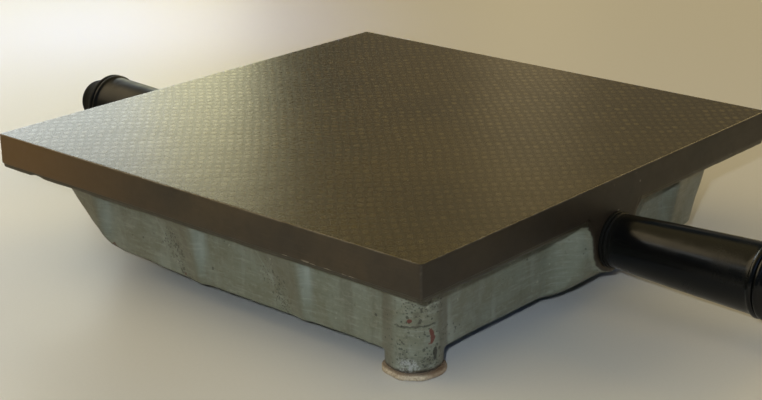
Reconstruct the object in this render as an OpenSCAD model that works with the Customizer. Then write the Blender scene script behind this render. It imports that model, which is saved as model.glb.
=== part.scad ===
// Hand-scraped cast-iron surface plate on three padded feet, with a revolving grip on two of its sides.
// Millimetres. The origin is on the floor, under the middle of the working face. +Z is up.
// The grips lie along Y.

/* [Plate] */
// Side of the square working face
plate_side = 300; // [280:1:340]
// Thickness of the plate under the working face
plate_t = 19.5; // [17:0.5:22]
// Height of the working face above the floor
plate_top = 67.5; // [64:0.5:72]
// Chamfer along the edges of the working face
edge_chamfer = 0.8; // [0.2:0.1:2]

/* [Skirt and ribs] */
// How far the skirt stands back from the plate's side
skirt_inset = 14.7; // [12:0.1:18]
// Thickness of the skirt
skirt_t = 8; // [6:0.5:10]
// Height of the skirt's lower edge above the floor
rim_z = 11.7; // [9:0.1:14]
// Reach of the three sloping corners along the diagonal, at the plate
corner_reach = 177; // [168:1:182]
// Reach of the left and far corners at the skirt's lower edge
corner_reach_low = 146; // [140:1:160]
// Reach of the right corner at the skirt's lower edge
right_reach_low = 164.5; // [150:0.5:167]
// Thickness of the ribs
rib_t = 7; // [5:0.5:9]
// Height of the ribs' lower edge above the floor
rib_z = 17; // [15:0.5:22]
// Spacing of the cross ribs
rib_pitch = 73; // [68:1:76]
// Place of the middle cross rib along Y
rib_mid_y = 10; // [5:1:12]

/* [Gussets] */
// Depth of a gusset at the plate
gusset_depth = 8; // [4:0.5:11]
// Width of a gusset at the plate
gusset_w = 40; // [25:1:45]
// Depth of a gusset at the skirt's lower edge
gusset_low_depth = 1.5; // [1:0.1:2]

/* [Feet] */
// Radius of a foot where it meets the plate
foot_r = 14.5; // [13.5:0.1:15.5]
// Radius of a foot at its lower end
foot_end_r = 13.7; // [12:0.1:14.5]
// Thickness of the pad under a foot
pad_t = 3; // [2:0.5:4]
// Radius of a pad
pad_r = 15; // [14.5:0.1:16]

/* [Handles] */
// Height of the handles' axis above the floor
axis_z = 35; // [33:0.5:36]
// Radius of the boss that a handle stands on
boss_r = 17.7; // [16.5:0.1:18.5]
// Radius of the collar behind a grip
collar_r = 14.6; // [14.4:0.1:16.4]
// Radius of a grip at its collar end
grip_base_r = 13.9; // [13:0.1:14.5]
// Radius of a grip at its outer end
grip_end_r = 17.5; // [16.5:0.1:18]
// Radius over the two beads at a grip's outer end
bead_r = 18.6; // [18.1:0.1:19]
// Length of a grip without its cap, from the collar
grip_len = 84.5; // [78:0.5:90]
// Length of the end cap
cap_len = 18; // [16:0.5:20]

/* [Fasteners] */
// Radius of a spindle's shank, which its grip turns on
shank_r = 7; // [6.5:0.1:7.5]
// Radius of the screwed ends of a spindle
thread_r = 5; // [4:0.1:5.2]
// Depth that a spindle is screwed into its boss
thread_depth = 27; // [22:1:28]
// Size of the lock nut across its flats
nut_flats = 17; // [15:0.5:17.5]

/* [Hidden] */
$fn = 96;
half = plate_side / 2;
skirt_half = half - skirt_inset;
under_z = plate_top - plate_t;
joint_overlap = 1;
face_step = 0.3;
corner_shave = 0.7;
foot_stand_out = 0.5;
foot_at = skirt_half - foot_end_r + foot_stand_out;
foot_corner_reach = (skirt_half + foot_at) / sqrt(2);
foot_places = [[-foot_at, -foot_at], [foot_at, 0], [0, foot_at]];
rib_places = [rib_mid_y - rib_pitch, rib_mid_y, rib_mid_y + rib_pitch];

front_gusset_x = 72;

boss_spread = 33;
boss_round_from = 6;
boss_step = 0.5;
boss_flare = 27;
boss_flare_z = axis_z + boss_r / 5;
inner_boss_r = 12;
inner_boss_wall = 6;
round_sides = 32;

run_clear = 0.05;
end_play = 0.15;
collar_t = 2;
lip_t = 1.5;
lip_r = 14.3;
lip_run_out = 0.5;
bead_w = 3.4;
groove_r = 17.2;
recess_r = 12.2;
recess_depth = 11;
washer_t = 2;
washer_r = 11.5;
nut_h = 8;
socket_flats = 5;
socket_depth = 5;
cap_wall = 1.6;
cap_spigot = 4;
cap_neck_r = 13.4;
cap_end_r = 11.2;
cap_neck_l = 6;
cap_shoulder_l = 3.2;
cap_shoulder_in = 0.8;
grip_swell = 0.27;
profile_steps = 12;

grip_start = collar_t + end_play;
grip_end = grip_start + grip_len;
shank_end = grip_end - recess_depth + end_play;
nut_start = shank_end + washer_t;
tip_end = nut_start + nut_h + 1;
cap_end = grip_end + cap_len;

// Reach of a corner at height z, for its reaches at the skirt's lower edge and at the plate
function reach_at(low, high, z) = low + (high - low) * (z - rim_z) / (under_z - rim_z);

// Prism across one diagonal, cut off at the corner towards the rotated +X and at the corner behind it.
// Each corner is given as its reach at the skirt's lower edge and at the plate
module diagonal_prism(turn, behind, ahead, inset, z_low) {
    z_high = under_z + joint_overlap;
    rotate([0, 0, turn]) rotate([90, 0, 0])
        linear_extrude(height = 4 * half, center = true)
            polygon([[-reach_at(behind[0], behind[1], z_low) + inset, z_low],
                     [reach_at(ahead[0], ahead[1], z_low) - inset, z_low],
                     [reach_at(ahead[0], ahead[1], z_high) - inset, z_high],
                     [-reach_at(behind[0], behind[1], z_high) + inset, z_high]]);
}

// What lies between the left and right corners' sloping planes
module left_right_prism(inset, z_low) {
    diagonal_prism(-45, [corner_reach_low, corner_reach], [right_reach_low, corner_reach], inset, z_low);
}

// Outer form of the skirt, drawn in by inset and reaching down to z_low
module skirt_form(inset, z_low) {
    side = 2 * (skirt_half - inset);
    intersection() {
        translate([-side / 2, -side / 2, z_low])
            cube([side, side, under_z + joint_overlap - z_low]);
        left_right_prism(inset, z_low);
        diagonal_prism(45, [foot_corner_reach, foot_corner_reach], [corner_reach_low, corner_reach],
                       inset, z_low);
    }
}

// Upright bar section with its two top edges chamfered, along Y
module chamfered_bar() {
    rotate([90, 0, 0])
        linear_extrude(height = 2 * half, center = true)
            polygon([[-half, under_z], [half, under_z], [half, plate_top - edge_chamfer],
                     [half - edge_chamfer, plate_top], [-half + edge_chamfer, plate_top],
                     [-half, plate_top - edge_chamfer]]);
}

module plate() {
    intersection() {
        chamfered_bar();
        rotate([0, 0, 90]) chamfered_bar();
        rotate([0, 0, 45])
            cube([2 * (half * sqrt(2) - corner_shave), 2 * (half * sqrt(2) - corner_shave), 4 * plate_top],
                 center = true);
    }
}

module ribs() {
    intersection() {
        skirt_form(skirt_t / 2, rib_z);
        union() {
            translate([-rib_t / 2, -half, 0]) cube([rib_t, 2 * half, under_z + joint_overlap]);
            for (y = rib_places)
                translate([-half, y - rib_t / 2, 0]) cube([2 * half, rib_t, under_z + joint_overlap]);
        }
    }
}

// Wedge on the left face of the skirt. It is deep and wide at the plate, and thins out downwards
module gusset(y) {
    back = skirt_t / 2;
    low_z = rim_z + face_step;
    top_z = under_z + joint_overlap / 2;
    low_w = gusset_w * gusset_low_depth / gusset_depth;
    translate([-skirt_half, y, 0])
        hull()
            polyhedron(
                points = [[back, 0, low_z], [-gusset_low_depth, 0, low_z],
                          [0, low_w, low_z], [back, low_w, low_z],
                          [back, 0, top_z], [-gusset_depth, 0, top_z],
                          [0, gusset_w, top_z], [back, gusset_w, top_z]],
                faces = [[3, 2, 1, 0], [4, 5, 6, 7], [0, 1, 5, 4],
                         [1, 2, 6, 5], [2, 3, 7, 6], [3, 0, 4, 7]]);
}

// Moves a handle's piece, drawn along +Z from the boss's face, to the side of the plate that it belongs to
module on_side(side) {
    translate([0, side * half, axis_z]) rotate([-90 * side, 0, 0]) children();
}

// Boss that carries a handle. Its face is flush with the plate's side
module boss(side) {
    hull() {
        on_side(side) translate([0, 0, -boss_round_from])
            cylinder(r = boss_r - boss_step, h = 1, $fn = round_sides);
        translate([-boss_spread, side * (skirt_half - skirt_t / 4 - face_step) - skirt_t / 4,
                   rim_z + face_step])
            cube([2 * boss_spread, skirt_t / 2, under_z + 3 * joint_overlap - rim_z]);
    }
    on_side(side) translate([0, 0, -skirt_inset - skirt_t / 2])
        cylinder(r = boss_r, h = skirt_inset + skirt_t / 2);
    translate([0, side * (half - skirt_inset / 2), 0])
        rotate([90, 0, 0])
            linear_extrude(height = skirt_inset, center = true)
                polygon([[-boss_flare, under_z + joint_overlap], [-boss_r, boss_flare_z],
                         [boss_r, boss_flare_z], [boss_flare, under_z + joint_overlap]]);
    on_side(side) translate([0, 0, -thread_depth - inner_boss_wall])
        cylinder(r = inner_boss_r, h = thread_depth);
}

module boss_hole(side) {
    on_side(side) translate([0, 0, -thread_depth - 1])
        cylinder(r = thread_r + run_clear, h = thread_depth + 2);
}

module foot(place) {
    translate([place[0], place[1], pad_t])
        cylinder(r1 = foot_end_r, r2 = foot_r, h = under_z + 2 * joint_overlap - pad_t);
}

module plate_casting() {
    color([0.36, 0.38, 0.33])
        difference() {
            union() {
                plate();
                difference() {
                    skirt_form(0, rim_z);
                    skirt_form(skirt_t, rim_z - 1);
                }
                ribs();
                intersection() {
                    union() {
                        for (y = rib_places) gusset(y - rib_t / 2);
                        mirror([1, -1, 0]) gusset(front_gusset_x);
                    }
                    left_right_prism(face_step, 0);
                }
                for (place = foot_places) foot(place);
                boss(-1);
                boss(1);
            }
            boss_hole(-1);
            boss_hole(1);
        }
}

module foot_pad(place) {
    color([0.80, 0.72, 0.56])
        translate([place[0], place[1], 0]) cylinder(r = pad_r, h = pad_t);
}

// Steel spindle, screwed into the boss. A washer and a lock nut on its tip keep the grip on it
module spindle(side) {
    color([0.62, 0.62, 0.60])
        on_side(side)
            difference() {
                union() {
                    translate([0, 0, -thread_depth]) cylinder(r = thread_r, h = tip_end + thread_depth);
                    cylinder(r = shank_r, h = shank_end);
                }
                translate([0, 0, tip_end - socket_depth])
                    cylinder(d = socket_flats / cos(30), h = socket_depth + 1, $fn = 6);
            }
}

// Flat ring between the boss's face and the grip
module collar(side) {
    color([0.13, 0.12, 0.11])
        on_side(side)
            difference() {
                cylinder(r = collar_r, h = collar_t);
                translate([0, 0, -1]) cylinder(r = shank_r + run_clear, h = collar_t + 2);
            }
}

// Outer radius of the grip at t, from 0 at its collar end to 1 at its outer end
function grip_radius(t) = grip_base_r + (grip_end_r - grip_base_r) * t + 4 * grip_swell * t * (1 - t);

// Rounded ring around the handle, with its middle at height z
module bead(z) {
    translate([bead_r - bead_w / 2, z]) circle(d = bead_w, $fn = round_sides);
}

// Black grip that swells towards its outer end. Its recess holds the washer and the lock nut
module grip(side) {
    body_end = grip_end - bead_w;
    floor_z = grip_end - recess_depth;
    body_start = grip_start + lip_t + lip_run_out;
    color([0.06, 0.06, 0.06])
        on_side(side)
            rotate_extrude()
                difference() {
                    union() {
                        polygon(concat(
                            [[shank_r + run_clear, grip_start], [lip_r, grip_start],
                             [lip_r, grip_start + lip_t]],
                            [for (i = [0:profile_steps])
                                let (t = i / profile_steps)
                                [grip_radius(t), body_start + t * (body_end - body_start)]],
                            [[groove_r, grip_end], [shank_r + run_clear, grip_end]]));
                        bead(grip_end - bead_w / 2);
                    }
                    translate([0, floor_z]) square([recess_r, recess_depth + 1]);
                }
}

module washer(side) {
    color([0.66, 0.66, 0.64])
        on_side(side) translate([0, 0, shank_end])
            difference() {
                cylinder(r = washer_r, h = washer_t);
                translate([0, 0, -1]) cylinder(r = thread_r + run_clear, h = washer_t + 2);
            }
}

module lock_nut(side) {
    color([0.66, 0.66, 0.64])
        on_side(side) translate([0, 0, nut_start])
            difference() {
                cylinder(d = nut_flats / cos(30), h = nut_h, $fn = 6);
                translate([0, 0, -1]) cylinder(r = thread_r + run_clear, h = nut_h + 2);
            }
}

// Hollow cap that is pressed into the grip's recess and turns with it
module end_cap(side) {
    spigot_r = recess_r - run_clear;
    hollow_r = spigot_r - cap_wall;
    neck_z = cap_end - cap_neck_l;
    color([0.05, 0.05, 0.05])
        on_side(side)
            rotate_extrude()
                difference() {
                    union() {
                        polygon([[0, grip_end - cap_spigot], [spigot_r, grip_end - cap_spigot],
                                 [spigot_r, grip_end],
                                 [groove_r, grip_end], [groove_r, grip_end + bead_w], [cap_neck_r, neck_z],
                                 [cap_neck_r - cap_shoulder_in, neck_z + cap_shoulder_l],
                                 [cap_end_r, cap_end], [0, cap_end]]);
                        bead(grip_end + bead_w / 2);
                    }
                    square([hollow_r, grip_end + cap_spigot]);
                }
}

plate_casting();
foot_pad(foot_places[0]);  // corner_foot_pad
foot_pad(foot_places[1]);  // right_foot_pad
foot_pad(foot_places[2]);  // rear_foot_pad
spindle(-1);  // front_spindle
collar(-1);  // front_collar
grip(-1);  // front_grip
washer(-1);  // front_washer
lock_nut(-1);  // front_lock_nut
end_cap(-1);  // front_end_cap
spindle(1);  // rear_spindle
collar(1);  // rear_collar
grip(1);  // rear_grip
washer(1);  // rear_washer
lock_nut(1);  // rear_lock_nut
end_cap(1);  // rear_end_cap
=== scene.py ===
"""Looks of a hand-scraped cast-iron surface plate with two revolving grips, built round its CAD frame."""
import math

import bpy
import numpy as np
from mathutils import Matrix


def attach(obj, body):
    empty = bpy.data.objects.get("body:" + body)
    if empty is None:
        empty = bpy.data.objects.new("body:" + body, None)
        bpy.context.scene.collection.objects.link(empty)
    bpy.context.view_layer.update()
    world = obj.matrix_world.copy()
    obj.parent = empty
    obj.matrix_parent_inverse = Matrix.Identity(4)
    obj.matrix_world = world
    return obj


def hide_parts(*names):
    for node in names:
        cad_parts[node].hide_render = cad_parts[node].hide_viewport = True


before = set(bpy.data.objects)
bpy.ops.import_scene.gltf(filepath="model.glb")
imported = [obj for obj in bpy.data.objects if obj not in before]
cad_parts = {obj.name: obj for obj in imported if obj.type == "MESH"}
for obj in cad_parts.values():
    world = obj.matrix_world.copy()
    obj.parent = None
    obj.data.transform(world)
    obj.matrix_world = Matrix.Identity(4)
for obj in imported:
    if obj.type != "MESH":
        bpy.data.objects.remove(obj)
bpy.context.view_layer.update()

MM = 0.001
ROOT_2 = math.sqrt(2)

# ---------------------------------------------------------------- sizes, in millimetres, in the row frame
# The plate: machined down to the strip, which is rough, painted and set back
HALF = 150.0
TOP_Z = 67.5
STRIP_Z = 50.8
UNDER_Z = 48.0
STRIP_BACK = 0.5
TOP_BEVEL = 0.55
CORNER_SHAVE = 0.8

# The skirt, whose rim rises towards the left corner, and where the casting's mesh ends inside the plate
SKIRT_HALF = 135.3
WALL_T = 8.0
RIM_Z = 11.7
RIM_RISE = 2.6
CUT_Z = 54.0

# The ribs: one at each of these places along Y, and one across them in the middle
RIB_T = 7.0
RIB_Z = 17.0
RIB_PLACES = (-63.0, 10.0, 83.0)

# The wedges on the skirt's outside, one at each rib on the left and one in front
GUSSET_DEPTH = 8.0
GUSSET_LOW_DEPTH = 1.5
GUSSET_SLOPE = 5.0
FRONT_GUSSET_X = 72.0

# The feet, which taper downwards, and their felt pads
FOOT_AT = 122.1
FEET = {"corner": (-FOOT_AT, -FOOT_AT), "right": (FOOT_AT, 0.0), "rear": (0.0, FOOT_AT)}
FOOT_R = 14.5
FOOT_END_R = 13.7
PAD_T = 3.0
PAD_R = 14.9

# The handles' axis and bosses
AXIS_Z = 35.0
BOSS_R = 17.7
SIDES = {"front": -1, "rear": 1}


# ---------------------------------------------------------------- shape tools
def smooth_min(a, b, k):
    """Union of two distance fields with a fillet of about k."""
    h = np.clip(0.5 + 0.5 * (b - a) / k, 0, 1)
    return b + (a - b) * h - k * h * (1 - h)


def smooth_max(a, b, k):
    """Intersection of two distance fields with an edge rounded by about k."""
    return -smooth_min(-a, -b, k)


def smooth_step(x, low, high):
    """0 at low and 1 at high, smooth in between."""
    t = np.clip((x - low) / (high - low), 0, 1)
    return t * t * (3 - 2 * t)


NOISE_TABLE = 32


def value_noise(points, size, seed):
    """Smooth random values from -1 to 1 that vary over the given size."""
    q = np.asarray(points, float) / size
    cell = np.floor(q).astype(int)
    f = q - cell
    f = f * f * (3 - 2 * f)
    table = np.random.default_rng(seed).uniform(-1, 1, (NOISE_TABLE,) * 3)
    total = np.zeros(len(q))
    for corner in np.ndindex(2, 2, 2):
        weight = np.prod(np.abs(1 - np.array(corner) - f), axis=1)
        total += weight * table[tuple(((cell + corner) % NOISE_TABLE).T)]
    return total


def surface_net(field, origin, step):
    """Points and quads of the zero level of a sampled distance field that is negative inside."""
    shape = np.array(field.shape) - 1
    total = np.zeros((*shape, 3), np.float32)
    count = np.zeros(shape, np.float32)
    inside = field < 0
    quads = []
    # a cell's point is the mean of the places where the surface crosses its edges
    for axis in range(3):
        u, v = [a for a in range(3) if a != axis]
        low = [slice(None)] * 3
        high = [slice(None)] * 3
        low[axis] = slice(0, -1)
        high[axis] = slice(1, None)
        a, b = field[tuple(low)], field[tuple(high)]
        crosses = inside[tuple(low)] != inside[tuple(high)]
        t = np.where(crosses, a / np.where(crosses, a - b, 1), 0)
        for du in (0, 1):
            for dv in (0, 1):
                part = [slice(None)] * 3
                part[u] = slice(du, du + shape[u])
                part[v] = slice(dv, dv + shape[v])
                part = tuple(part)
                c = crosses[part]
                count += c
                total[..., axis] += np.where(c, t[part], 0)
                total[..., u] += np.where(c, du, 0)
                total[..., v] += np.where(c, dv, 0)
    used = count > 0
    index = np.full(shape, -1, np.int64)
    index[used] = np.arange(used.sum())
    cells = np.argwhere(used)
    points = (cells + total[used] / count[used][:, None]) * step + np.array(origin)
    # every edge that is crossed gets a quad between the points of the four cells round it
    for axis in range(3):
        u, v = [(1, 2), (2, 0), (0, 1)][axis]
        low = [slice(1, -1)] * 3
        high = [slice(1, -1)] * 3
        low[axis] = slice(0, -1)
        high[axis] = slice(1, None)
        a, b = inside[tuple(low)], inside[tuple(high)]
        start = np.ones(3, int)
        start[axis] = 0
        for outward in (True, False):
            at = np.argwhere(a & ~b if outward else b & ~a) + start
            corners = []
            for du, dv in ((-1, -1), (0, -1), (0, 0), (-1, 0)):
                at_corner = at.copy()
                at_corner[:, u] += du
                at_corner[:, v] += dv
                corners.append(index[tuple(at_corner.T)])
            quads.append(np.stack(corners if outward else corners[::-1], 1))
    return points, np.concatenate(quads)


def make_mesh(name, points, faces):
    """Smooth-shaded object from points in millimetres and faces, in the row frame."""
    mesh = bpy.data.meshes.new(name)
    mesh.from_pydata((np.asarray(points, float) * MM).tolist(), [], [list(map(int, f)) for f in faces])
    mesh.validate()
    mesh.polygons.foreach_set("use_smooth", [True] * len(mesh.polygons))
    obj = bpy.data.objects.new(name, mesh)
    bpy.context.scene.collection.objects.link(obj)
    return obj


def vertex_normals(points, quads):
    """Unit normals at the points of a quad mesh."""
    d1 = points[quads[:, 2]] - points[quads[:, 0]]
    d2 = points[quads[:, 3]] - points[quads[:, 1]]
    n = np.cross(d1, d2)
    total = np.zeros_like(points)
    for c in range(4):
        np.add.at(total, quads[:, c], n)
    return total / np.maximum(np.linalg.norm(total, axis=1), 1e-9)[:, None]


WOBBLE_SIZE = 9.0


def lathe(name, rings, place, wobble=0.0, seed=1):
    """Closed body turned from an outline of (radius, distance) points. place moves it to where it belongs."""
    segments = 160
    angles = np.arange(segments) * 2 * math.pi / segments
    outline = np.array(rings, float)
    r = outline[:, 0][:, None]
    z = np.broadcast_to(outline[:, 1][:, None], (len(outline), segments))
    unit = np.stack([r * np.cos(angles), r * np.sin(angles), z], -1).reshape(-1, 3)
    if wobble:
        push = value_noise(unit, WOBBLE_SIZE, seed) * 0.7 + value_noise(unit, WOBBLE_SIZE / 3, seed + 1) * 0.3
        radius = np.maximum(np.hypot(unit[:, 0], unit[:, 1]), 1e-6)
        unit[:, :2] *= (1 + push * wobble / np.maximum(radius, 1.0))[:, None]
    points = place(unit)
    n = len(outline)
    faces = []
    for i in range(n):
        j = (i + 1) % n
        for k in range(segments):
            m = (k + 1) % segments
            faces.append((i * segments + k, i * segments + m, j * segments + m, j * segments + k))
    return make_mesh(name, points, faces)


def on_side(side):
    """Moves points drawn along +Z from the boss's face to the side that they belong to."""
    def place(p):
        return np.stack([p[:, 0], side * (HALF + p[:, 2]), AXIS_Z + p[:, 1] * side], -1)
    return place


def arc(cx, cy, r, start, end, steps=8):
    """Points of an arc, with its angles in degrees."""
    turn = np.radians(np.linspace(start, end, steps + 1))
    return [(cx + r * math.cos(a), cy + r * math.sin(a)) for a in turn]


# ---------------------------------------------------------------- the casting under the working face
# How far the skirt's cut-off corners reach out along the diagonal: (height, reach) points
LEFT_PROFILE = ((8, 145.0), (14.2, 146.2), (15.6, 149.8), (19.4, 154.2), (26.4, 161.0), (34.5, 167.8),
                (48, 177.3), (60, 185))
RIGHT_PROFILE = ((8, 164.6), (14.9, 165.7), (25.4, 168.6), (34.2, 172.5), (48, 177.3), (60, 181.5))
FOOT_CORNER_REACH = 181.0
CORNER_ROUND = 3.0

# The bite out of the plate's lower edge on the left
NOTCH_Y = 120.5
NOTCH_HALF = 4.6
NOTCH_DEPTH = 1.3
NOTCH_FROM_X = 143.0

# The handle bosses: where each part starts and ends, out from the middle of the plate
BOSS_FROM = 128.0
BOSS_FLARE_FROM = 132.0
FLANK_FROM = 131.0
FLANK_TO = 147.0
FLANK_HALF = 33.0
FLANK_LIFT_FROM = 138.5
SOCKET_R = 12.0
SOCKET_FROM = 117.0
SOCKET_TO = 130.0


def reach(z, profile):
    """A profile's reach at a height."""
    heights, reaches = zip(*profile)
    return np.interp(z, heights, reaches)


def corner_planes(x, y, z):
    """Distance outside the sloping surfaces that cut off the left, far and right corners."""
    left = ((y - x) / ROOT_2 - reach(z, LEFT_PROFILE)) * 0.8
    far = ((y + x) / ROOT_2 - reach(z, LEFT_PROFILE)) * 0.8
    right = ((x - y) / ROOT_2 - reach(z, RIGHT_PROFILE)) * 0.95
    return np.maximum(np.maximum(left, far), right)


def skirt_form(x, y, z):
    """Distance outside the form that the skirt stands on."""
    form = smooth_max(np.abs(x) - SKIRT_HALF, np.abs(y) - SKIRT_HALF, CORNER_ROUND)
    form = smooth_max(form, corner_planes(x, y, z), CORNER_ROUND)
    return smooth_max(form, (-x - y) / ROOT_2 - FOOT_CORNER_REACH, CORNER_ROUND)


def skirt_and_ribs(x, y, z):
    """The skirt's wall, and the ribs, which end inside it."""
    form = skirt_form(x, y, z)
    body = np.abs(form + WALL_T / 2) - WALL_T / 2
    for from_rib in [y - place for place in RIB_PLACES] + [x]:
        rib = smooth_max(np.abs(from_rib) - RIB_T / 2, RIB_Z - z, 3.0)
        body = smooth_min(body, np.maximum(rib, form + 3.0), 5.0)
    return body


def gusset(along, out, z, start):
    """A wedge on a wall: along the wall from start, out from the wall's face."""
    depth = GUSSET_LOW_DEPTH + (GUSSET_DEPTH - GUSSET_LOW_DEPTH) * (z - RIM_Z) / (UNDER_Z - RIM_Z)
    form = (out - depth + (along - start) / GUSSET_SLOPE) * 0.96
    form = smooth_max(form, (start - along) * 0.9 + (out - 2.0) * 0.35, 3.4)
    return np.maximum(form, -3.0 - out)


def plate_underside(x, y, z):
    """The plate from its lower edge up, with the bite on the left."""
    sheet = np.maximum(np.abs(x), np.abs(y)) - (HALF - STRIP_BACK)
    bite = NOTCH_DEPTH * np.exp(-((y - NOTCH_Y) / NOTCH_HALF) ** 4) * (x < -NOTCH_FROM_X)
    return smooth_max(sheet, UNDER_Z + bite - z, 1.0)


def boss(x, out, z):
    """A handle's boss, which widens upwards."""
    round_part = np.maximum(np.hypot(x, z - AXIS_Z) - BOSS_R, BOSS_FROM - out)
    flare = (np.abs(x) - BOSS_R - 0.55 * (z - AXIS_Z - 3.0)) * 0.85
    flare = np.maximum(np.maximum(flare, AXIS_Z + 2.0 - z), BOSS_FLARE_FROM - out)
    return smooth_min(round_part, flare, 3.0)


def boss_flank(x, out, z):
    """The skirt's thickening on both sides of a boss."""
    flank = (np.abs(x) - FLANK_HALF + (out - SKIRT_HALF)) * 0.7
    flank = smooth_max(flank, out - FLANK_TO, 2.0)
    flank = smooth_max(flank, (RIM_Z - z + (out - FLANK_LIFT_FROM) * 0.85) * 0.76, 4.0)
    flank = smooth_max(flank, RIM_Z - z, 2.2)
    return np.maximum(flank, FLANK_FROM - out)


def boss_socket(x, out, z):
    """The round inside of a boss, which holds the spindle's end."""
    return np.maximum(np.hypot(x, z - AXIS_Z) - SOCKET_R, np.maximum(SOCKET_FROM - out, out - SOCKET_TO))


def casting_field(x, y, z):
    """Distance field of the skirt, ribs, feet, bosses and the rough underside of the plate."""
    body = skirt_and_ribs(x, y, z)
    corners = corner_planes(x, y, z)
    for place in RIB_PLACES:
        wedge = smooth_max(gusset(y, -x - SKIRT_HALF, z, place - RIB_T / 2), corners, 3.0)
        body = smooth_min(body, wedge, 2.0)
    wedge = smooth_max(gusset(x, -y - SKIRT_HALF, z, FRONT_GUSSET_X), corners, 3.0)
    body = smooth_min(body, wedge, 5.0)
    rim = RIM_Z + RIM_RISE * smooth_step((y - x) / ROOT_2, 106, 138)
    body = smooth_max(body, rim - z, 2.2)
    body = smooth_min(body, plate_underside(x, y, z), 4.0)
    for side in SIDES.values():
        out = side * y
        body = smooth_min(body, boss_flank(x, out, z), 5.0)
        body = smooth_min(body, boss(x, out, z), 2.5)
        body = smooth_min(body, boss_socket(x, out, z), 4.0)
    for foot_x, foot_y in FEET.values():
        radius = FOOT_END_R + (FOOT_R - FOOT_END_R) * (z - PAD_T) / (UNDER_Z - PAD_T)
        foot = smooth_max(np.hypot(x - foot_x, y - foot_y) - radius, PAD_T - z, 1.8)
        body = smooth_min(body, foot, 1.4)
    body = np.maximum(body, z - CUT_Z)
    return np.maximum(body, np.maximum(np.abs(x), np.abs(y)) - (HALF - 0.06))


def build_casting(step):
    """The casting up to inside the machined plate, with the unevenness of cast iron."""
    reach_xy = HALF + 2 * step
    xs = np.arange(-reach_xy, reach_xy + step, step, dtype=np.float32)
    zs = np.arange(PAD_T - 2 * step, CUT_Z + 2 * step, step, dtype=np.float32)
    field = casting_field(xs[:, None, None], xs[None, :, None], zs[None, None, :]).astype(np.float32)
    points, quads = surface_net(field, (xs[0], xs[0], zs[0]), step)
    normals = vertex_normals(points, quads)
    cast = value_noise(points, 23.0, 11) * 0.22 + value_noise(points, 8.0, 12) * 0.12
    cast += value_noise(points, 3.4, 13) * 0.07
    boss_face = (np.abs(points[:, 1]) > HALF - 0.3) & (points[:, 2] < UNDER_Z + 2)
    cast[boss_face | (points[:, 2] > CUT_Z - 1)] = 0
    points = np.clip(points + normals * cast[:, None], -HALF, HALF)
    return make_mesh("plate_casting_body", points, quads)


# ---------------------------------------------------------------- the machined plate
SCRAPE_PITCH_U = 7.2
SCRAPE_PITCH_V = 4.7
SCRAPE_DEPTH = 0.003
FLAKE_JITTER = 0.24
ROW_SHIFT = 0.25
TOP_STEPS = 340
TOP_WAVE = 0.02

# The sides' upper edge, and the tabs that hang from them over the bosses
SIDE_FROM_Z = TOP_Z - 2.4
BOSS_TAB = 9.0
TAB_WIDE = 23.5
TAB_NARROW = 16.0

# How the scraped rows wander: height, length and phase of the long waves, height and two lengths of the short
U_SWING = (1.3, 37.0, 0.6)
U_RIPPLE = (0.30, 9.3, 31.0)
V_SWING = (1.1, 43.0, 1.7)
V_RIPPLE = (0.28, 10.1, -27.0)


def scraped_rows(u, v, sine):
    """Where a point lies in the scraped rows, from its places along the two diagonals in millimetres."""
    def wander(along, across, swing, ripple):
        long_wave = sine(across / swing[1] + swing[2]) * swing[0]
        return long_wave + sine(across / ripple[1] + along / ripple[2]) * ripple[0]

    u_bent = u + wander(u, v, U_SWING, U_RIPPLE)
    v_bent = v + wander(v, u_bent, V_SWING, V_RIPPLE)
    return u_bent / SCRAPE_PITCH_U, v_bent / SCRAPE_PITCH_V


def scraped_grid():
    """Points and quads of the scraped face, and the points round its border."""
    inner = HALF - TOP_BEVEL
    line = np.linspace(-inner, inner, TOP_STEPS + 1)
    x, y = np.meshgrid(line, line, indexing="ij")
    u, v = scraped_rows((x + y) / ROOT_2, (y - x) / ROOT_2, np.sin)
    dome = np.sin(math.pi * u) ** 2 * np.sin(math.pi * v) ** 2
    edge = np.minimum(inner - np.abs(x), inner - np.abs(y))
    depth = SCRAPE_DEPTH * (1 - dome) * smooth_step(edge, 0.0, 2.5)
    flat_points = np.stack([x.ravel(), y.ravel(), x.ravel() * 0], -1)
    depth = depth.ravel() + TOP_WAVE * (1 + value_noise(flat_points, 11.0, 21))
    points = np.stack([x.ravel(), y.ravel(), TOP_Z - depth], -1)
    grid = np.arange(x.size).reshape(x.shape)
    quads = np.stack([grid[:-1, :-1], grid[1:, :-1], grid[1:, 1:], grid[:-1, 1:]], -1).reshape(-1, 4)
    border = np.concatenate([grid[:-1, 0], grid[-1, :-1], grid[:0:-1, -1], grid[0, :0:-1]])
    return points, quads, border


def side_ring(rim, half, z):
    """A ring of points round the plate's sides, worn at the top, with the tabs over the bosses below."""
    xy = rim * half
    past_corner = np.abs(xy).sum(1) - (2 * HALF - CORNER_SHAVE)
    xy = xy - np.sign(xy) * np.maximum(past_corner, 0)[:, None] / 2
    on_tab = smooth_step(np.abs(xy[:, 0]), TAB_WIDE, TAB_NARROW) * (np.abs(xy[:, 1]) > HALF - 8)
    share = np.clip((SIDE_FROM_Z - z) / (SIDE_FROM_Z - STRIP_Z), 0, 1)
    ring = np.column_stack([xy, z - BOSS_TAB * on_tab * share])
    wear = value_noise(ring, 4.2, 31) * 0.05 + value_noise(ring, 1.6, 32) * 0.03
    worn = wear * smooth_step(ring[:, 2], TOP_Z - 2.0, TOP_Z - 0.4) + 0.06 * value_noise(ring, 26.0, 33)
    on_side = np.abs(ring[:, :2]) > HALF - 3
    ring[:, :2] -= np.sign(ring[:, :2]) * on_side * np.maximum(worn, -0.02)[:, None]
    return ring


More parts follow.
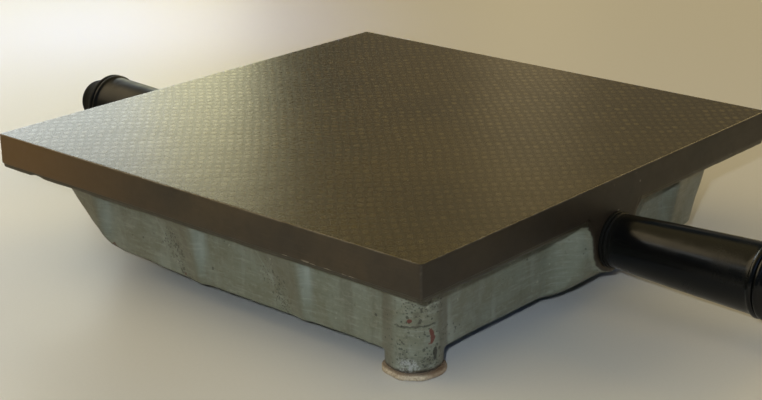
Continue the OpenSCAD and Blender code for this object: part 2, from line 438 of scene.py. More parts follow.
def build_machined_plate():
    """The plate's scraped face, its bevel, its sides and its lower edge, closed underneath."""
    points, quads, border = scraped_grid()
    rim = points[border][:, :2] / (HALF - TOP_BEVEL)
    rows = [(HALF - back * TOP_BEVEL, TOP_Z - down * TOP_BEVEL)
            for back, down in ((0.62, 0.1), (0.28, 0.34), (0.07, 0.68), (0.0, 1.1))]
    rows += [(HALF, z) for z in np.linspace(SIDE_FROM_Z, STRIP_Z + 0.5, 9)]
    rows += [(HALF - 0.12, STRIP_Z + 0.1), (HALF - 0.9, STRIP_Z - 0.1), (HALF - 6.0, STRIP_Z - 0.1)]
    rings = [side_ring(rim, half, z) for half, z in rows]
    faces = quads.tolist()
    previous = border
    for i in range(len(rings)):
        ring = len(points) + i * len(border) + np.arange(len(border))
        faces += np.stack([previous, ring, np.roll(ring, -1), np.roll(previous, -1)], -1).tolist()
        previous = ring
    faces.append(previous.tolist())
    points = np.concatenate([points] + rings)
    points[:, :2] = np.clip(points[:, :2], -HALF, HALF)
    points[:, 2] = np.minimum(points[:, 2], TOP_Z)
    return make_mesh("machined_plate", points, faces)


# ---------------------------------------------------------------- feet pads
PAD_CUTS = 5
PAD_CUT_REACH = (13.9, 14.8)


def build_pad(name, centre, seed):
    """Disc of felt, cut with a few straight snips and frayed."""
    segments = 96
    turn = np.arange(segments) * 2 * math.pi / segments
    circle = np.stack([np.cos(turn), np.sin(turn), turn * 0], -1)
    rough = value_noise(circle * 3, 1.3, seed) * 0.8 + value_noise(circle * 3, 0.35, seed + 1) * 0.35
    outer = PAD_R + 0.35 - 0.6 * np.abs(rough)
    draw = np.random.default_rng(seed)
    for _ in range(PAD_CUTS):
        away, cut = draw.uniform(0, 2 * math.pi), draw.uniform(*PAD_CUT_REACH)
        across = np.cos(turn - away)
        outer = np.where(across > 0.3, np.minimum(outer, cut / np.maximum(across, 0.3)), outer)
    rows = [(0.45, 0.0), (0.93, 0.0), (0.985, 0.25), (1.0, 0.9), (0.995, 2.0), (0.975, 2.8), (0.93, 3.1),
            (0.45, 3.15)]
    points, faces = [], []
    for share, z in rows:
        ring = circle * (outer * share)[:, None]
        ring[:, 2] = z
        fuzz = value_noise(ring, 1.1, seed + 2) * 0.16 * (share > 0.9)
        ring[:, :2] *= (1 + fuzz / PAD_R)[:, None]
        lift = (z > 0.1) * (z < 3) * value_noise(ring, 2.0, seed + 3) * 0.12
        ring[:, 2] = np.maximum(ring[:, 2] + lift, 0)
        points.append(ring + np.array([*centre, 0.0]))
    for i in range(len(rows) - 1):
        for k in range(segments):
            m = (k + 1) % segments
            a, b = i * segments, (i + 1) * segments
            faces.append((a + k, a + m, b + m, b + k))
    points = np.concatenate(points)
    count = len(points)
    faces.append(tuple(range(segments))[::-1])
    faces.append(tuple(range(count - segments, count)))
    return make_mesh(name, points, faces)


# ---------------------------------------------------------------- handles, out from the boss's face
COLLAR_T = 2.0
COLLAR_R = 14.6
SHANK_R = 7.05
GRIP_START = 2.15
GRIP_END = 86.65
LIP_R = 14.3
LIP_T = 1.5
GRIP_BASE_R = 13.9
GRIP_END_R = 17.5
GRIP_SWELL = 0.27
BEAD_R = 18.6
BEAD_W = 3.4
GROOVE_R = 16.9
EDGE_R = 0.5
RECESS_R = 12.2
RECESS_DEPTH = 11.0
CAP_END = 104.65
CAP_NECK_R = 13.4
CAP_END_R = 11.2


def rounded_rim(radius, start, end):
    """The two rounded edges of a ring."""
    r = EDGE_R
    return arc(radius - r, start + r, r, -90, 0, 4) + arc(radius - r, end - r, r, 0, 90, 4)


def bead(middle):
    """The round bead at the grip's end, and the like one of its cap."""
    return arc(BEAD_R - BEAD_W / 2, middle, BEAD_W / 2, -62, 62, 12)


def collar_outline():
    return [(SHANK_R, 0.0)] + rounded_rim(COLLAR_R, 0.0, COLLAR_T) + [(SHANK_R, COLLAR_T)]


def grip_outline():
    """The lip, the swelling body, the bead, and the recess for the nut."""
    body_start = GRIP_START + LIP_T + 0.7
    body_end = GRIP_END - BEAD_W - 0.4
    points = [(SHANK_R, GRIP_START)] + rounded_rim(LIP_R, GRIP_START, GRIP_START + LIP_T)
    for t in np.linspace(0, 1, 41):
        radius = GRIP_BASE_R + (GRIP_END_R - GRIP_BASE_R) * t + 4 * GRIP_SWELL * t * (1 - t)
        points.append((radius, body_start + t * (body_end - body_start)))
    points += bead(GRIP_END - BEAD_W / 2)
    points += [(GROOVE_R + 0.4, GRIP_END - 0.05), (GROOVE_R, GRIP_END), (RECESS_R + 0.3, GRIP_END)]
    points += [(RECESS_R, GRIP_END - 0.3), (RECESS_R, GRIP_END - RECESS_DEPTH)]
    points.append((SHANK_R, GRIP_END - RECESS_DEPTH))
    return points


def cap_outline():
    """The spigot, pressed into the recess, the bead, the cone and the flat end."""
    spigot_r = RECESS_R - 0.05
    hollow_r = spigot_r - 1.6
    neck_z = CAP_END - 6
    points = [(0.02, GRIP_END + 4), (hollow_r, GRIP_END + 4), (hollow_r, GRIP_END - 4)]
    points += [(spigot_r, GRIP_END - 4), (spigot_r, GRIP_END)]
    points += [(GROOVE_R, GRIP_END), (GROOVE_R + 0.4, GRIP_END + 0.05)]
    points += bead(GRIP_END + BEAD_W / 2)
    points += [(17.1, GRIP_END + BEAD_W + 0.3), (15.3, neck_z - 4.0)]
    points += [(CAP_NECK_R + out, neck_z + along)
               for out, along in ((0.15, -0.4), (-0.15, 0.6), (-0.5, 2.6), (-1.0, 4.2))]
    points += [(CAP_END_R + 0.7, CAP_END - 0.7), (CAP_END_R, CAP_END - 0.15), (CAP_END_R - 1.0, CAP_END)]
    points += [(4.0, CAP_END), (0.02, CAP_END)]
    return points


# ---------------------------------------------------------------- material tools
class Value:
    """One output of a shader node. Arithmetic on it adds Math nodes to the same material."""

    def __init__(self, socket):
        self.socket = socket
        self.tree = socket.id_data

    def __add__(self, other):
        return calc("ADD", self, other)

    def __sub__(self, other):
        return calc("SUBTRACT", self, other)

    def __rsub__(self, other):
        return calc("SUBTRACT", other, self)

    def __mul__(self, other):
        return calc("MULTIPLY", self, other)

    def __truediv__(self, other):
        return calc("DIVIDE", self, other)

    def __pow__(self, other):
        return calc("POWER", self, other)

    def __abs__(self):
        return calc("ABSOLUTE", self)

    __radd__ = __add__
    __rmul__ = __mul__


def add_node(tree, kind, inputs=None, **settings):
    """A shader node, with its settings, and its inputs as plain values or as other nodes' outputs."""
    node = tree.nodes.new("ShaderNode" + kind)
    for key, setting in settings.items():
        setattr(node, key, setting)
    for key, given in (inputs or {}).items():
        if isinstance(given, Value):
            tree.links.new(given.socket, node.inputs[key])
        else:
            node.inputs[key].default_value = given
    return node


def output_of(tree, kind, inputs=None, output=0, **settings):
    """One output of a new shader node."""
    return Value(add_node(tree, kind, inputs, **settings).outputs[output])


def calc(operation, a, b=0.0):
    """A Math node's result. At least one of a and b is another node's output."""
    tree = a.tree if isinstance(a, Value) else b.tree
    return output_of(tree, "Math", {0: a, 1: b}, operation=operation)


def larger(a, b):
    return calc("MAXIMUM", a, b)


def sine(angle):
    return calc("SINE", angle)


def split(vector):
    """The three parts of a vector or colour."""
    return [Value(part) for part in add_node(vector.tree, "SeparateXYZ", {0: vector}).outputs]


def noise(where, scale, detail=4.0, roughness=0.55, distortion=0.0):
    """Smooth random values round 0.5."""
    inputs = {"Vector": where, "Scale": scale, "Detail": detail, "Roughness": roughness}
    return output_of(where.tree, "TexNoise", inputs | {"Distortion": distortion}, "Fac")


def noise_vector(where, scale, detail):
    """Three smooth random values round 0.5."""
    return output_of(where.tree, "TexNoise", {"Vector": where, "Scale": scale, "Detail": detail}, "Color")


def stretched_noise(where, scales, detail, roughness=0.55, turn=(0.0, 0.0, 0.0)):
    """Noise with its own scale along each axis, turned by the angles."""
    place = output_of(where.tree, "Mapping", {"Vector": where, "Scale": scales, "Rotation": turn})
    return noise(place, 1.0, detail, roughness)


def rise(value, low, high):
    """0 below low, 1 above high, smooth in between. It falls instead if high is the smaller."""
    if high < low:
        return 1.0 - rise(value, high, low)
    inputs = {"Value": value, "From Min": low, "From Max": high}
    return output_of(value.tree, "MapRange", inputs, "Result", interpolation_type="SMOOTHSTEP")


def rise_mm(value, low, high):
    """Rise of a place or distance, with its bounds in millimetres."""
    return rise(value, low * MM, high * MM)


def blend(share, a, b):
    """From colour a at 0 to colour b at 1."""
    return output_of(share.tree, "Mix", {0: share, 6: a, 7: b}, 2, data_type="RGBA")


def blend_value(share, a, b):
    """From number a at 0 to number b at 1."""
    return output_of(share.tree, "Mix", {0: share, 2: a, 3: b}, data_type="FLOAT")


def colour(r, g, b):
    """A linear colour from screen values of 0 to 255."""
    def linear(c):
        c /= 255
        return c / 12.92 if c <= 0.04045 else ((c + 0.055) / 1.055) ** 2.4
    return (linear(r), linear(g), linear(b), 1.0)


def start_material(name):
    """A new material, with the place in the row frame and its x, y and z, in metres."""
    material = bpy.data.materials.new(name)
    material.use_nodes = True
    material.node_tree.nodes.clear()
    where = output_of(material.node_tree, "TexCoord", output="Object")
    return material, where, split(where)


def end_material(inputs, height, strength, distance):
    """Gives a material its shader's inputs and its bump, whose full height is the distance in metres."""
    tree = height.tree
    bump = output_of(tree, "Bump", {"Height": height, "Strength": strength, "Distance": distance})
    shader = output_of(tree, "BsdfPrincipled", inputs | {"Normal": bump})
    add_node(tree, "OutputMaterial", {0: shader})


def near_point(xyz, spot, radius):
    """1 at a spot in millimetres, falling to 0 at the radius from it."""
    tree = xyz[0].tree
    where = output_of(tree, "CombineXYZ", dict(enumerate(xyz)))
    spot = tuple(c * MM for c in spot)
    away = output_of(tree, "VectorMath", {0: where, 1: spot}, "Value", operation="DISTANCE")
    return rise_mm(away, radius, 0.0)


def specks(where, size, radius, share):
    """Scattered ragged specks: cells of the size in millimetres, of which the share holds one."""
    tree = where.tree
    # the place is warped first, so that a speck's outline is ragged
    shift = noise_vector(where, 2.2 / (size * MM), 2.0)
    shift = output_of(tree, "VectorMath", {0: shift, 3: size * MM * 0.8}, operation="SCALE")
    warped = output_of(tree, "VectorMath", {0: where, 1: shift})
    cells = add_node(tree, "TexVoronoi", {"Vector": warped, "Scale": 1 / (size * MM)}).outputs
    draw = split(Value(cells["Color"]))
    grown = (draw[1] + 0.4) * radius
    inside = rise(Value(cells["Distance"]) - grown, 0.03, -0.03)
    return inside * calc("LESS_THAN", draw[0], share)


# ---------------------------------------------------------------- the machined iron's material
IRON_METALLIC = 0.06
SCRAPED = colour(85, 71, 33)
SCRAPED_DARK = colour(75, 63, 31)
SCRAPED_GAP = colour(38, 31, 20)
SCRAPED_TONE_AND_GLINT = colour(118, 103, 60)
BROWN = colour(67, 54, 35)
BROWN_DARK = colour(47, 39, 28)
BROWN_STAIN_AND_SHADE = colour(33, 27, 20)
BROWN_LINE = colour(96, 81, 60)
BROWN_LIT = colour(112, 80, 40)
BROWN_WORN_AND_HIGHLIGHT = colour(119, 108, 88)
KNOCK = colour(158, 146, 124)
IRON_DOT = colour(140, 120, 96)
IRON_CHIP = colour(170, 160, 140)


def patina(where, x, y):
    """Brown patina of the machined sides: its colour and roughness, with painted light on the left side's
    back half and painted shade on the front side.
    """
    broad = noise(where, 14.0, 3.0)
    fine = noise(where, 190.0, 5.0, 0.65)
    lines = stretched_noise(where, (60.0, 60.0, 900.0), 3.0, 0.6)
    base = blend(rise(broad, 0.35, 0.65), BROWN_DARK, BROWN)
    base = blend(rise(fine, 0.4, 0.75) * 0.3, base, BROWN_STAIN_AND_SHADE)
    base = blend(rise(lines, 0.5, 0.8) * 0.16, base, BROWN_LINE)
    # painted light: the left side's back half is lightened
    painted_light_left_back = rise_mm(y, 0.0, HALF) * rise_mm(x, 0.0, -140)
    base = blend(painted_light_left_back * 0.75, base, BROWN_LIT)
    # painted shade: the whole front side is darkened
    front = rise_mm(y, 1.5 - HALF, 0.5 - HALF)
    base = blend(front * 0.6, base, BROWN_STAIN_AND_SHADE)
    return base, 0.36 + fine * 0.2 + lines * 0.06


def scrape_cells(where, x, y):
    """The scraped face's flakes: 1 in a flake's middle and 0 round it, and three random values a flake."""
    tree = where.tree
    u, v = scraped_rows((x + y) / (ROOT_2 * MM), (y - x) / (ROOT_2 * MM), sine)
    jitter = split(noise_vector(where, 150.0, 1.0))
    u = u + (jitter[0] - 0.5) * FLAKE_JITTER
    v = v + (jitter[1] - 0.5) * FLAKE_JITTER
    row = output_of(tree, "TexWhiteNoise", {1: calc("FLOOR", u)}, "Value", noise_dimensions="1D")
    v = v + row * ROW_SHIFT
    cell = output_of(tree, "CombineXYZ", {0: calc("FLOOR", u), 1: calc("FLOOR", v)})
    draw = split(output_of(tree, "TexWhiteNoise", {0: cell}, "Color"))
    across, along = [0.5 - calc("COSINE", place * (2 * math.pi)) * 0.5 for place in (u, v)]
    return across * along, draw


def scraped_face(where, x, y, fine):
    """Colour, roughness and relief of the scraped face."""
    flake, draw = scrape_cells(where, x, y)
    base = blend(rise(noise(where, 9.0, 3.0), 0.3, 0.7), SCRAPED, SCRAPED_DARK)
    base = blend((1.0 - flake) ** 3.0 * 0.15, base, SCRAPED_GAP)
    wide = rise(flake, 0.02, 0.7)
    # the flakes' relief and their painted glints fade towards the near corner
    kept = 0.45 + rise_mm(x + y, -160, 0) * 0.55
    # flakes lightened: partly their own tone, partly painted glints
    base = blend(wide * ((0.10 + draw[2] * draw[2] * 0.42) * kept), base, SCRAPED_TONE_AND_GLINT)
    cloud = noise(where, 38.0, 4.0)
    rough = 0.18 + fine * 0.08 + (1.0 - wide) * 0.045 + draw[1] * wide * 0.03 + cloud * 0.03
    return base, rough, flake * (0.35 + draw[0] * 0.65) * kept


def wear_and_highlight_edges(base, where, xyz):
    """Pales the plate's upper edges and upright corners: partly wear, partly painted highlight."""
    ax, ay = abs(xyz[0]), abs(xyz[1])
    inwards = HALF * MM - larger(ax, ay)
    down = TOP_Z * MM - xyz[2]
    ragged = noise(where, 130.0, 4.0)
    edge = rise_mm(inwards + down - ragged * (0.6 * MM), 0.6, 0.0) * rise(ragged, 0.30, 0.62)
    corner = rise_mm(ax + ay, 2 * HALF - 1.05, 2 * HALF - 0.8) * rise(ragged, 0.36, 0.6)
    # pale edges and corners: partly wear, partly painted highlight
    return blend(larger(edge * 0.34, corner * 0.45), base, BROWN_WORN_AND_HIGHLIGHT)


def knock(base, where, xyz):
    """Pale knocks along the lower edge, dots on the sides and a chip in front."""
    x, y, z = xyz
    low_edge = rise_mm(z, STRIP_Z + 1.3, STRIP_Z + 0.3)
    often = rise_mm(y, -120, -105) * rise_mm(y, -55, -70) * rise_mm(x, 0, -140) * 0.4 + 0.004
    flattened = output_of(where.tree, "Mapping", {"Vector": where, "Scale": (0.4, 0.4, 1.6)})
    knocks = specks(flattened, 1.8, 0.6, often) * low_edge
    base = blend(knocks * 0.6, base, KNOCK)
    base = blend(specks(where, 5.0, 0.09, 0.08) * 0.5, base, IRON_DOT)
    return blend(near_point(xyz, (22, -HALF, 60), 0.9) * 0.5, base, IRON_CHIP)


def make_iron():
    """The machined plate: scraped face with painted glints on its flakes, brown sides with painted light and
    shade, and edges pale with wear and painted highlight.
    """
    material, where, xyz = start_material("scraped_iron")
    x, y, z = xyz
    upward = split(output_of(where.tree, "NewGeometry", output="Normal"))[2]
    on_top = rise(upward, 0.72, 0.9)
    fine = noise(where, 900.0, 3.0)
    top, top_rough, relief = scraped_face(where, x, y, fine)
    side, side_rough = patina(where, x, y)
    base = wear_and_highlight_edges(blend(on_top, side, top), where, xyz)
    base = knock(base, where, xyz)
    rough = blend_value(on_top, side_rough, top_rough)
    inputs = {"Base Color": base, "Roughness": rough, "Metallic": IRON_METALLIC}
    end_material(inputs, relief * on_top + fine * 0.04, 1.0, 0.022 * MM)
    return material


# ---------------------------------------------------------------- the enamelled casting's material
ENAMEL = colour(121, 123, 107)
ENAMEL_DARK = colour(110, 113, 95)
ENAMEL_SHADE = colour(70, 71, 58)
ENAMEL_PAINTED_HIGHLIGHT = colour(150, 158, 147)
ENAMEL_DOT = colour(161, 158, 137)
DIRT_AND_SHADE = colour(82, 75, 57)
FOOT_SIDE_SHADE = colour(74, 64, 46)
FOOT_CRACK = colour(49, 47, 36)
FOOT_RIM = colour(55, 37, 25)
PAINTED_RIM_SHADE = colour(31, 30, 23)
SMUDGE = colour(66, 62, 48)
CHIPPED = colour(38, 36, 28)
STRIP_BROWN = colour(49, 44, 30)
RED_PRIMER = colour(92, 34, 25)
RUST = colour(78, 46, 26)
IRON_BARE = colour(37, 35, 29)
METAL_BRIGHT = colour(160, 160, 152)

# Where the paint is chipped: the spot in millimetres, the radius and how much
CHIPPED_SPOTS = (
    ((-137, 27, 31), 9, 0.75), ((-136, 22, 22), 7, 0.6), ((-136, 19, 14), 5, 0.8),
    ((-137, -41, 34), 8, 0.3), ((-136, -47, 26), 8, 0.55), ((-136, -52, 18), 7, 0.6),
    ((-133, -131, 37), 9, 0.75), ((-124, -136, 37), 8, 0.7), ((-126, -136, 10), 8, 0.8),
    ((-136, -126, 13), 7, 0.7), ((-132, -132, 24), 8, 0.4), ((-131, -132, 8), 8, 0.4),
    ((-118, -137, 18), 9, 0.45), ((-139, -120, 26), 10, 0.25), ((30, -147, 44), 12, 0.3))
# Patches of another colour: the spot and the radius in millimetres, the colour, and the height to the width
PATCHES = (
    ((-125.4, -135.9, 21.6), 3.2, RED_PRIMER, 2.8), ((-134.2, -129.8, 29.8), 2.4, RED_PRIMER, 0.7),
    ((-136.5, 19.4, 14.6), 2.6, RED_PRIMER, 1.0), ((-135.4, 75.5, 15.6), 5.0, RUST, 1.0),
    ((-123.5, -136.2, 12.0), 2.6, IRON_BARE, 2.6))


def enamel_paint(where, cloud, streaks, grain):
    """The paint itself: blotches, runs, grain and slanting brush marks."""
    brushed = stretched_noise(where, (90.0, 90.0, 700.0), 3.0, 0.6, (0.7, 0.6, 0))
    base = blend(rise(noise(where, 11.0, 3.0), 0.35, 0.65), ENAMEL_DARK, ENAMEL)
    for pattern, low, high, amount, tone in (
            (cloud, 0.42, 0.68, 0.55, colour(96, 91, 67)),
            (streaks, 0.53, 0.72, 0.40, colour(143, 147, 134)),
            (streaks, 0.46, 0.30, 0.35, DIRT_AND_SHADE),
            (grain, 0.48, 0.75, 0.22, colour(152, 149, 127)),
            (brushed, 0.52, 0.72, 0.30, colour(152, 154, 138)),
            (brushed, 0.46, 0.30, 0.26, colour(84, 80, 60))):
        base = blend(rise(pattern, low, high) * amount, base, tone)
    return base


def mark_gussets(base, xyz, streaks):
    """Painted highlights on the gussets' ends and creases and on the bosses' flanks, and painted shade on the
    gussets' slopes.
    """
    x, y, z = xyz
    on_left = rise_mm(x, 1.8 - SKIRT_HALF, 0.3 - SKIRT_HALF)
    depth = (z - RIM_Z * MM) * ((GUSSET_DEPTH - GUSSET_LOW_DEPTH) / (UNDER_Z - RIM_Z)) + GUSSET_LOW_DEPTH * MM
    crease_at = depth * GUSSET_SLOPE
    pale = painted_slope_shade = 0.0
    for place in RIB_PLACES:
        along = y - (place - RIB_T / 2) * MM
        end = rise_mm(along, -6.2, -1.4) * rise_mm(along, 3.0, -1.2)
        crease = rise_mm(abs(along - crease_at), 1.1, 0.3)
        slope = rise_mm(along, 0.0, 3.0) * rise_mm(along - crease_at, 0.0, -10.0)
        pale = larger(pale, larger(end, crease * 0.55))
        painted_slope_shade = larger(painted_slope_shade, slope)
    pale = pale * on_left * rise_mm(z, 14, 34) * (0.35 + streaks) * rise_mm(y, 110, 30)
    flank = rise_mm(abs(x), 41.5, 38.5) * rise_mm(abs(x), 32.5, 36) * rise_mm(abs(y), 136, 139)
    # painted highlight on the gussets' ends and creases and on the bosses' flanks
    base = blend(larger(pale, flank * 0.6) * 0.42, base, ENAMEL_PAINTED_HIGHLIGHT)
    # painted shade on the gussets' slopes
    return blend(painted_slope_shade * on_left * 0.30, base, DIRT_AND_SHADE)


def mark_feet(base, xyz, ragged):
    """Soil at the feet's ends, painted shade on the near foot's round sides, the crack round the near one,
    and a painted shade line along the skirt's lower rim.
    """
    x, y, z = xyz
    from_foot = None
    for foot_x, foot_y in FEET.values():
        dx, dy = x - foot_x * MM, y - foot_y * MM
        away = calc("SQRT", dx * dx + dy * dy)
        from_foot = away if from_foot is None else calc("MINIMUM", from_foot, away)
    on_foot = rise_mm(from_foot, 16, 15)
    ragged_z = z + ragged * (4 * MM)
    across = abs(x - y) * math.sqrt(0.5)
    # painted shade: a dark line along the skirt's lower rim
    rim = rise_mm(z, 12.6, 11.4) * (1.0 - on_foot)
    base = blend(rim * 0.8, base, PAINTED_RIM_SHADE)
    base = blend(rise_mm(ragged_z, 6.2, 4.4) * on_foot * 0.75, base, FOOT_RIM)
    # painted shade down the near foot's round sides
    shaded_foot_sides = rise_mm(across, 8.8, 12) * on_foot * rise_mm(x, -100, -104)
    base = blend(shaded_foot_sides * 0.42, base, FOOT_SIDE_SHADE)
    crack = rise_mm(abs(ragged_z - 27 * MM), 0.7, 0.3) * on_foot * rise_mm(across, 10, 8)
    return blend(crack * 0.7, base, FOOT_CRACK)


def chip_paint(base, where, xyz):
    """Chips, smudges and pale dots. Gives the colour and the chips."""
    share = 0.006
    for spot, radius, amount in CHIPPED_SPOTS:
        share = share + near_point(xyz, spot, radius * 1.3) * (amount * 0.9)
    chips = larger(specks(where, 2.1, 0.34, share * 0.7), specks(where, 1.1, 0.40, share * 0.9))
    smudge = rise(noise(where, 330.0, 5.0, 0.7) + share * 0.22, 0.60, 0.74)
    base = blend(smudge * 0.45, base, SMUDGE)
    base = blend(chips * 0.62, base, CHIPPED)
    return blend(specks(where, 3.1, 0.2, 0.10) * 0.4, base, ENAMEL_DOT), chips


def patch_paint(base, where, xyz, ragged):
    """Spots of primer, rust and bare iron, and the bright metal at the near foot's end."""
    x, y, z = xyz
    for spot, radius, tone, tall in PATCHES:
        near = near_point((x, y, z / tall), (spot[0], spot[1], spot[2] / tall), radius)
        base = blend(rise(near + ragged * 1.5, 0.42, 0.56) * 0.85, base, tone)
    near = near_point(xyz, (-134.4, -128.6, 7.8), 9.5)
    grit = noise(where, 800.0, 4.0, 0.7)
    shine = rise(near + ragged * 1.6 + grit * 3.4, 2.15, 2.75) * rise_mm(z, 11.6, 9.0)
    return blend(shine * 0.75, base, METAL_BRIGHT)


def bare_boss(where, x, y, ragged):
    """1 on the machined faces of the bosses, with a scratched, uneven border to the paint."""
    scratched = stretched_noise(where, (700.0, 200.0, 150.0), 3.0, 0.6, (0, 0.5, 0))
    sideways = abs(x) + (ragged + (scratched - 0.5)) * (7 * MM)
    outward = abs(y) + ragged * (1.2 * MM)
    return rise_mm(outward, HALF - 1.0, HALF - 0.4) * rise_mm(sideways, 23.6, 22.8)


def make_enamel():
    """Grey-green enamel on rough iron, chipped and stained, with painted highlights and shade on the gussets,
    feet, front wall and rim, and the bare faces of the bosses.
    """
    material, where, xyz = start_material("grey_green_enamel")
    x, y, z = xyz
    cloud = noise(where, 46.0, 6.0, 0.62, 0.6)
    grain = noise(where, 420.0, 4.0)
    streaks = stretched_noise(where, (95.0, 95.0, 14.0), 4.0)
    ragged = noise(where, 300.0, 3.0) - 0.5
    base = enamel_paint(where, cloud, streaks, grain)
    base = mark_gussets(base, xyz, streaks)
    in_front = rise_mm(y, 3.3 - SKIRT_HALF, 0.8 - SKIRT_HALF) * rise_mm(x, -115, -100)
    base = blend(in_front * 0.10, base, ENAMEL_SHADE)
    base = mark_feet(base, xyz, ragged)
    base, chips = chip_paint(base, where, xyz)
    base = patch_paint(base, where, xyz, ragged)
    strip = rise_mm(larger(abs(x), abs(y)), HALF - 3.0, HALF - 1.2) * rise_mm(z, 47.4, 48.2)
    base = blend(strip, base, STRIP_BROWN)
    bare = bare_boss(where, x, y, ragged)
    iron_base, iron_rough = patina(where, x, y)
    base = blend(bare, base, iron_base)
    rough = blend_value(bare, 0.32 + cloud * 0.25, iron_rough)
    height = (cloud + grain * 0.25 - chips * 0.3) * (1.0 - bare * 0.8)
    inputs = {"Base Color": base, "Roughness": rough, "Metallic": bare * IRON_METALLIC}
    end_material(inputs, height, 0.6, 0.6 * MM)
    return material


# ---------------------------------------------------------------- the other materials
def make_plastic():
    """Polished black plastic with fine handling marks, duller at the grips' bases and on the rear cap."""
    material, where, (x, y, z) = start_material("black_plastic")
    smear = noise(where, 60.0, 4.0, 0.6)
    hair = stretched_noise(where, (900.0, 60.0, 900.0), 2.0)
    dust = rise(noise(where, 700.0, 2.0), 0.72, 0.78)
    base = blend(dust * 0.25, colour(10, 10, 9), colour(80, 76, 68))
    near_lip = rise_mm(abs(y), HALF + 10, HALF + 3.5)
    base = blend(near_lip * 0.5, base, colour(26, 25, 21))
    worn = rise_mm(abs(y) + smear * (6 * MM), HALF + 11, HALF + 6)
    rear_cap = rise_mm(y, HALF + GRIP_END + 0.35, HALF + GRIP_END + 3.35)
    rough = 0.15 + rise(smear, 0.4, 0.8) * 0.16 + hair * 0.05 + worn * 0.22
    rough = rough + rise_mm(y, 0, 100) * 0.20 + rear_cap * 0.35
    inputs = {"Base Color": base, "Roughness": rough, "IOR": 1.53}
    inputs["Specular IOR Level"] = 0.24 - larger(worn, rear_cap) * 0.14
    end_material(inputs, smear * 0.6 + hair * 0.25, 0.12, 0.2 * MM)
    return material


def make_felt():
    """Cream felt, stained, and darker where it meets the foot."""
    material, where, (x, y, z) = start_material("cream_felt")
    fibre = noise(where, 900.0, 6.0, 0.7, 1.2)
    stain = noise(where, 90.0, 3.0)
    base = blend(rise(fibre, 0.3, 0.7), colour(160, 140, 112), colour(208, 190, 158))
    base = blend(rise(stain, 0.45, 0.65) * 0.6, base, colour(122, 92, 62))
    top = rise_mm(z + stain * (1.2 * MM), 2.6, 3.6)
    base = blend(top * 0.6, base, colour(84, 58, 38))
    end_material({"Base Color": base, "Roughness": 0.95}, fibre, 0.9, 0.5 * MM)
    return material


def make_steel():
    """Turned steel: fine rings round the handles' axis, with oil stains."""
    material, where, _ = start_material("turned_steel")
    rings = stretched_noise(where, (30.0, 3500.0, 30.0), 3.0)
    stain = noise(where, 130.0, 4.0)
    base = blend(rise(stain, 0.4, 0.7), colour(176, 176, 172), colour(138, 134, 124))
    inputs = {"Base Color": base, "Metallic": 1.0, "Roughness": 0.22 + rings * 0.2}
    end_material(inputs, rings, 0.3, 0.1 * MM)
    return material


def make_floor():
    """Pale satin tabletop."""
    material, where, _ = start_material("pale_tabletop")
    fine = noise(where, 700.0, 3.0)
    base = blend(fine, colour(204, 200, 188), colour(210, 206, 194))
    end_material({"Base Color": base, "Roughness": 0.38}, fine, 0.02, 0.2 * MM)
    return material


# ---------------------------------------------------------------- pieces
iron = make_iron()
enamel = make_enamel()
plastic = make_plastic()
felt = make_felt()
steel = make_steel()


def settle(obj, body, slot, material, *nodes):
    """Gives a piece its material and its body, and hides the CAD nodes that it stands for; its record slot is
    not used.
    """
    obj.data.materials.append(material)
    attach(obj, body)
    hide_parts(*nodes)


CASTING_STEP = 1.45
settle(build_casting(CASTING_STEP), "plate", "casting", enamel, "plate_casting")
settle(build_machined_plate(), "plate", "casting", iron, "plate_casting")
for seed, (place, centre) in enumerate(FEET.items()):
    pad = build_pad(f"{place}_felt_pad", centre, 40 + 5 * seed)
    settle(pad, "plate", "foot_pads", felt, f"{place}_foot_pad")
for name, side in SIDES.items():
    at = on_side(side)
    collar = lathe(f"{name}_collar_ring", collar_outline(), at)
    grip = lathe(f"{name}_grip_body", grip_outline(), at, wobble=0.05, seed=60 + side)
    cap = lathe(f"{name}_cap_body", cap_outline(), at, wobble=0.03, seed=70 + side)
    settle(collar, "plate", "collars", plastic, f"{name}_collar")
    settle(grip, f"{name}_handle", "grips", plastic, f"{name}_grip")
    settle(cap, f"{name}_handle", "grips", plastic, f"{name}_end_cap")
    for part, slot in (("spindle", "spindles"), ("washer", "fasteners"), ("lock_nut", "fasteners")):
        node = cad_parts[f"{name}_{part}"]
        node.data.materials.clear()
        node.data.materials.append(steel)

# ---------------------------------------------------------------- floor, light, camera
# The tabletop lies a hair under the pads, so that their faces don't meet
TABLETOP_SIZE = 14.0
TABLETOP_Z = -0.05 * MM
SKY = (0.45, 0.77, 1.0, 1.0)
SKY_STRENGTH = 0.066

scene = bpy.context.scene
bpy.ops.mesh.primitive_grid_add(x_subdivisions=8, y_subdivisions=8, size=TABLETOP_SIZE,
                                location=(0, 0, TABLETOP_Z))
floor = bpy.context.object
floor.name = "tabletop"
floor.data.materials.append(make_floor())

world = bpy.data.worlds.new("studio")
world.use_nodes = True
sky = world.node_tree.nodes["Background"]
sky.inputs["Color"].default_value = SKY
sky.inputs["Strength"].default_value = SKY_STRENGTH
scene.world = world


def area_light(name, place, target, size, power, tint):
    """Rectangular lamp at a place, in metres, that faces the target."""
    lamp = bpy.data.lights.new(name, "AREA")
    lamp.shape = "RECTANGLE"
    lamp.size, lamp.size_y = size
    lamp.energy = power
    lamp.color = tint
    obj = bpy.data.objects.new(name, lamp)
    scene.collection.objects.link(obj)
    obj.location = place
    away = obj.location - type(obj.location)(target)
    obj.rotation_euler = away.to_track_quat("Z", "Y").to_euler()
    return obj


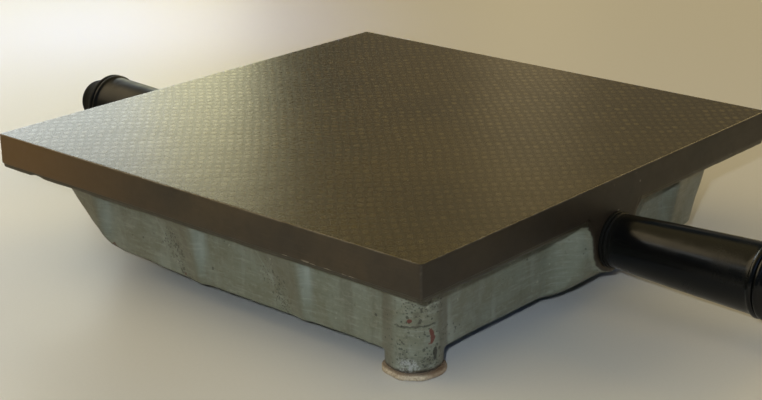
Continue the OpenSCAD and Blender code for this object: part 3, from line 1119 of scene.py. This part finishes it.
# The window behind the plate, in three panes, and the warm wall and lamp beside it
area_light("window_edge", (1.621, 1.966, 0.568), (0, 0, 0.05), (0.227, 0.685), 1.6, (1.0, 0.97, 0.62))
area_light("window_middle", (1.406, 2.125, 0.568), (0, 0, 0.05), (0.318, 0.685), 2.5, (0.92, 1.0, 0.96))
area_light("window_far", (1.032, 2.319, 0.613), (0, 0, 0.05), (0.547, 0.777), 5.4, (0.90, 0.97, 1.0))
area_light("lamp_glow", (2.084, 1.422, 0.679), (0, 0, 0.05), (0.2, 0.73), 0.19, (1.0, 0.80, 0.45))
area_light("warm_wall", (2.32, 1.034, 0.603), (0, 0, 0.05), (1.788, 1.08), 0.83, (1.0, 0.75, 0.42))
# The room's broad light
area_light("daylight", (-0.7, 2.2, 1.7), (0, 0.2, 0), (2.6, 2.0), 38.6, (1.0, 0.81, 0.50))
area_light("ceiling", (0.2, 0.3, 2.4), (0, 0, 0), (3.4, 3.4), 17.0, (1.0, 0.75, 0.27))
area_light("cool_fill", (-0.4, -2.3, 1.5), (0, 0, 0), (1.8, 1.2), 6.3, (0.38, 0.54, 1.0))
area_light("right_lamp", (2.3, -0.4, 1.3), (0, 0, 0), (1.4, 1.2), 21.0, (1.0, 0.755, 0.344))
# Small lights: a strip to the left, a patch of window light on the table, and the camera's flash
area_light("left_strip", (-1.42, 0.65, 1.19), (0, -0.18, 0.04), (1.2, 0.25), 1.4, (0.95, 1.0, 1.0))
pool = area_light("window_pool", (0.27, 0.52, 0.75), (0.25, 0.5, 0), (0.22, 0.22), 0.16, (0.36, 0.45, 1.0))
pool.data.spread = math.radians(32)
flash_place = (-0.676, -0.527, 0.364)
flash = area_light("camera_flash", flash_place, (0, 0, 0.03), (0.03, 0.02), 3.8, (0.76, 0.86, 1.0))
flash.visible_glossy = False

camera = bpy.data.cameras.new("camera")
camera.sensor_width = 36.0
camera.lens = 76.45
camera_object = bpy.data.objects.new("camera", camera)
scene.collection.objects.link(camera_object)
camera_object.location = (-0.6426, -0.5646, 0.3259)
camera_object.rotation_euler = [math.radians(a) for a in (70.432, 0.685, -48.658)]
scene.camera = camera_object
scene.view_settings.view_transform = "Standard"
